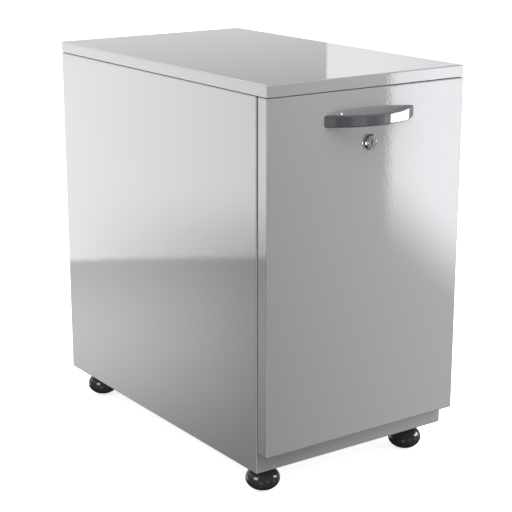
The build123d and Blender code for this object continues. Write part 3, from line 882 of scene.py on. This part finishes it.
# %% [markdown]
# ### Blind rivets
# The slides are fixed with blind rivets. Their heads are low domes with a round hole where the
# pulling pin broke off.

# %% The rivet tree
rivet_sizes = ("Head Radius", "Head Height", "Shank Radius", "Shank Length")
rivet_tree, given = new_tree("blind_rivet", rivet_sizes)
head_radius, tall, shank, long = (given[size] for size in rivet_sizes)
DOME_STEPS = (  # radius at the foot and the top of each slice, and where it starts and ends
    (1.0, 0.96, 0.0, 0.35),
    (0.96, 0.82, 0.35, 0.70),
    (0.82, 0.60, 0.70, 1.0),
)
layers = []
for low_share, high_share, low_part, high_part in DOME_STEPS:
    layers.append(slice_of_lathe(
        rivet_tree,
        scaled(rivet_tree, head_radius, low_share),
        scaled(rivet_tree, head_radius, high_share),
        scaled(rivet_tree, tall, low_part),
        scaled(rivet_tree, tall, high_part - low_part),
        36,
    ))
pin_radius = scaled(rivet_tree, head_radius, 0.27)
pin_foot = scaled(rivet_tree, tall, 0.2)
pin_hole = slice_of_lathe(rivet_tree, pin_radius, pin_radius, pin_foot, tall, 20)
crown_layer = combined(rivet_tree, "DIFFERENCE", layers[2], pin_hole)
middle_layer = combined(rivet_tree, "DIFFERENCE", layers[1], pin_hole)
below = scaled(rivet_tree, long, -1.0)
rivet_shank = slice_of_lathe(rivet_tree, shank, shank, below, long, 28)
rivet = joined(rivet_tree, [layers[0], middle_layer, crown_layer, rivet_shank])
set_on_spots(rivet_tree, given, rivet, "Z", seed=5)

# %% Rivets in place
RIVET_HEAD_HEIGHT = 0.0015
RIVET_SHANK_RADIUS = 0.0025


def rivets(node_name, heads_outward):
    """Rivets along X, whose heads look away from the middle of the pedestal or towards it."""
    spots = []
    for low, high in solids_of(nodes[node_name]):
        x, y, z = middle_of(low, high)
        side = 1 if x > 0 else -1
        facing = side if heads_outward else -side
        head_face = high.x if facing > 0 else low.x
        spots.append(((head_face - facing * RIVET_HEAD_HEIGHT, y, z), (facing, 0, 0)))
    sizes = {
        "Head Radius": (high.y - low.y) / 2,
        "Head Height": RIVET_HEAD_HEIGHT,
        "Shank Radius": RIVET_SHANK_RADIUS,
        "Shank Length": high.x - low.x - RIVET_HEAD_HEIGHT,
    }
    make_hardware(node_name, rivet_tree, spots, sizes, "plated_fasteners")


rivets("post_rivets", heads_outward=True)
rivets("drawer_rivets", heads_outward=False)

# %% [markdown]
# ### Castor stems and nuts
# Each castor turns on a smooth spigot below a flange, and is held by a threaded stud and a nut
# inside the base pan. The nut is a hexagon whose corners are turned off: the part that a double
# cone and a six-sided bar have in common.

# %% The stem tree
stem_sizes = (
    "Stud Radius",
    "Stud Length",
    "Flange Radius",
    "Flange Height",
    "Spigot Radius",
    "Spigot Length",
)
stem_tree, given = new_tree("castor_stem", stem_sizes)
stud, stud_long, flange, flange_high, spigot, spigot_long = (given[size] for size in stem_sizes)
stud_core = scaled(stem_tree, stud, 0.90)
stud_tip = scaled(stem_tree, stud, 0.74)
stud_straight = scaled(stem_tree, stud_long, 0.94)
stud_point = maths(stem_tree, "SUBTRACT", stud_long, stud_straight)
thread_radius = scaled(stem_tree, stud, 0.88)
thread_ridge = scaled(stem_tree, stud, 0.12)
threaded = scaled(stem_tree, stud_long, 0.86)
thread_start = 0.001
thread_pitch = 0.00125
flange_low = scaled(stem_tree, flange_high, -1.0)
half_flange = scaled(stem_tree, flange_high, 0.5)
flange_middle = scaled(stem_tree, half_flange, -1.0)
flange_edge = scaled(stem_tree, flange, 0.95)
spigot_low = scaled(stem_tree, spigot_long, -1.0)
spigot_tip = scaled(stem_tree, spigot_long, 0.08)
spigot_rest = maths(stem_tree, "SUBTRACT", spigot_long, spigot_tip)
spigot_shoulder = maths(stem_tree, "ADD", spigot_low, spigot_tip)
spigot_end = scaled(stem_tree, spigot, 0.85)
stem = joined(stem_tree, [
    slice_of_lathe(stem_tree, stud_core, stud_core, 0.0, stud_straight),
    slice_of_lathe(stem_tree, stud_core, stud_tip, stud_straight, stud_point),
    thread(stem_tree, thread_radius, thread_ridge, thread_start, threaded, thread_pitch),
    slice_of_lathe(stem_tree, flange_edge, flange, flange_low, half_flange, 48),
    slice_of_lathe(stem_tree, flange, flange_edge, flange_middle, half_flange, 48),
    slice_of_lathe(stem_tree, spigot_end, spigot, spigot_low, spigot_tip),
    slice_of_lathe(stem_tree, spigot, spigot, spigot_shoulder, spigot_rest),
])
set_on_spots(stem_tree, given, stem, "Z", seed=7)

# %% The nut tree
nut_sizes = ("Width Across Flats", "Nut Height", "Hole Radius")
nut_tree, given = new_tree("hex_nut", nut_sizes)
flats, tall, hole = (given[size] for size in nut_sizes)
corner_radius = maths(nut_tree, "DIVIDE", flats, 2 * math.cos(math.radians(30)))
trimmed_radius = scaled(nut_tree, flats, 0.49)
wide_radius = scaled(nut_tree, flats, 0.66)
half_tall = scaled(nut_tree, tall, 0.5)
bar = slice_of_lathe(nut_tree, corner_radius, corner_radius, 0.0, tall, 6)
cones = [
    slice_of_lathe(nut_tree, trimmed_radius, wide_radius, 0.0, half_tall, 48),
    slice_of_lathe(nut_tree, wide_radius, trimmed_radius, half_tall, half_tall, 48),
]
halves = [combined(nut_tree, "INTERSECT", bar, cone) for cone in cones]
bore_overrun = 0.001  # past each face, so that the hole is cut cleanly through
bore_length = maths(nut_tree, "ADD", tall, 2 * bore_overrun)
bore = slice_of_lathe(nut_tree, hole, hole, -bore_overrun, bore_length, 32)
halves = [combined(nut_tree, "DIFFERENCE", half, bore) for half in halves]
set_on_spots(nut_tree, given, joined(nut_tree, halves), "Z", seed=11, spin=0.0)

# %% Stems and nuts in place
STUD_RADIUS = 0.005  # the stud's own, and so the hole of its nut
FLANGE_HEIGHT = 0.0015
SPIGOT_RADIUS = 0.004
UPWARDS = (0, 0, 1)
pan_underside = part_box("base_pan")[0].z

stems = solids_of(nodes["castor_stems"])
stem_spots = []
for low, high in stems:
    x, y, z = middle_of(low, high)
    stem_spots.append(((x, y, pan_underside), UPWARDS))
stem_low, stem_high = stems[0]
stem_values = {
    "Stud Radius": STUD_RADIUS,
    "Stud Length": stem_high.z - pan_underside,
    "Flange Radius": (stem_high.x - stem_low.x) / 2,
    "Flange Height": FLANGE_HEIGHT,
    "Spigot Radius": SPIGOT_RADIUS,
    "Spigot Length": pan_underside - stem_low.z,
}
make_hardware("castor_stems", stem_tree, stem_spots, stem_values, "plated_fasteners")

nuts = solids_of(nodes["castor_nuts"])
nut_spots = []
for low, high in nuts:
    x, y, z = middle_of(low, high)
    nut_spots.append(((x, y, low.z), UPWARDS))
nut_low, nut_high = nuts[0]
nut_values = {
    "Width Across Flats": min(nut_high.x - nut_low.x, nut_high.y - nut_low.y),
    "Nut Height": nut_high.z - nut_low.z,
    "Hole Radius": STUD_RADIUS,
}
make_hardware("castor_nuts", nut_tree, nut_spots, nut_values, "plated_fasteners")

# %% [markdown]
# ### Ball cages
# Between two members of a slide runs a bent strip with two rows of steel balls. The tree lays a
# line of points at the ball pitch, cuts a round window at each with a slightly larger ball, and
# puts the balls in.

# %% The cage tree
cage_sizes = (
    "Length",
    "Depth",
    "Height",
    "Strip",
    "Ball Radius",
    "Ball Offset",
    "Row Height",
    "Balls",
)
cage_tree, given = new_tree("ball_cage", cage_sizes)
length, cage_depth, cage_height, strip_wall = (given[size] for size in cage_sizes[:4])
ball, ball_offset, row, balls = (given[size] for size in cage_sizes[4:])


def negative(value):
    """The cage tree's value with its sign turned."""
    return scaled(cage_tree, value, -1.0)


half_wall = scaled(cage_tree, strip_wall, 0.5)
flange_z = maths(cage_tree, "SUBTRACT", scaled(cage_tree, cage_height, 0.5), half_wall)
half_depth = scaled(cage_tree, cage_depth, -0.5)
web_middle = vector(cage_tree, x=negative(half_wall))
upper_middle = vector(cage_tree, x=half_depth, z=flange_z)
lower_middle = vector(cage_tree, x=half_depth, z=negative(flange_z))
web = block_of(cage_tree, strip_wall, length, cage_height, web_middle)
upper = block_of(cage_tree, cage_depth, length, strip_wall, upper_middle)
lower = block_of(cage_tree, cage_depth, length, strip_wall, lower_middle)
ball_pitch = maths(cage_tree, "DIVIDE", length, balls)
first_ball = scaled(cage_tree, maths(cage_tree, "SUBTRACT", length, ball_pitch), -0.5)


def ball_rows(radius, rings, segments):
    """Balls of one radius on both rows, as real geometry."""
    sphere = add_node(cage_tree, "GeometryNodeMeshUVSphere")
    sphere.inputs["Segments"].default_value = segments
    sphere.inputs["Rings"].default_value = rings
    feed(cage_tree, sphere.inputs["Radius"], radius)
    rows = []
    for row_z in (row, negative(row)):
        line_start = vector(cage_tree, x=negative(ball_offset), y=first_ball, z=row_z)
        line = add_node(cage_tree, "GeometryNodeMeshLine")
        feed(cage_tree, line.inputs["Count"], balls)
        feed(cage_tree, line.inputs["Start Location"], line_start)
        feed(cage_tree, line.inputs["Offset"], vector(cage_tree, y=ball_pitch))
        spread = add_node(cage_tree, "GeometryNodeInstanceOnPoints")
        cage_tree.links.new(line.outputs[0], spread.inputs["Points"])
        cage_tree.links.new(sphere.outputs[0], spread.inputs["Instance"])
        real = add_node(cage_tree, "GeometryNodeRealizeInstances")
        cage_tree.links.new(spread.outputs[0], real.inputs[0])
        rows.append(real.outputs[0])
    return joined(cage_tree, rows)


windows = ball_rows(scaled(cage_tree, ball, 1.08), 10, 16)
flanges = [combined(cage_tree, "DIFFERENCE", flange_box, windows) for flange_box in (upper, lower)]
round_balls = ball_rows(ball, 12, 20)
cage = joined(cage_tree, [web, *flanges, round_balls])
set_on_spots(cage_tree, given, cage, "X", seed=1, spin=0.0)


# %% Cages in place
STRIP_WALL = 0.0008
BALLS_IN_A_ROW = 10


def cages(node_name, ball_radius, ball_offset):
    """A cage on each side; its web is the face nearest the side wall."""
    spots = []
    for low, high in solids_of(nodes[node_name]):
        x, y, z = middle_of(low, high)
        side = 1 if x > 0 else -1
        web_x = high.x if side > 0 else low.x
        spots.append(((web_x, y, z), (side, 0, 0)))
    row = (high.z - low.z) / 2 - ball_radius
    sizes = {
        "Length": high.y - low.y,
        "Depth": high.x - low.x,
        "Height": 2 * row + STRIP_WALL,
        "Strip": STRIP_WALL,
        "Ball Radius": ball_radius,
        "Ball Offset": ball_offset,
        "Row Height": row,
        "Balls": BALLS_IN_A_ROW,
    }
    make_hardware(node_name, cage_tree, spots, sizes, "inner_zinc_steel")


cages("ball_cages_outer", ball_radius=0.00225, ball_offset=0.0043)
cages("ball_cages_inner", ball_radius=0.0019, ball_offset=0.0038)
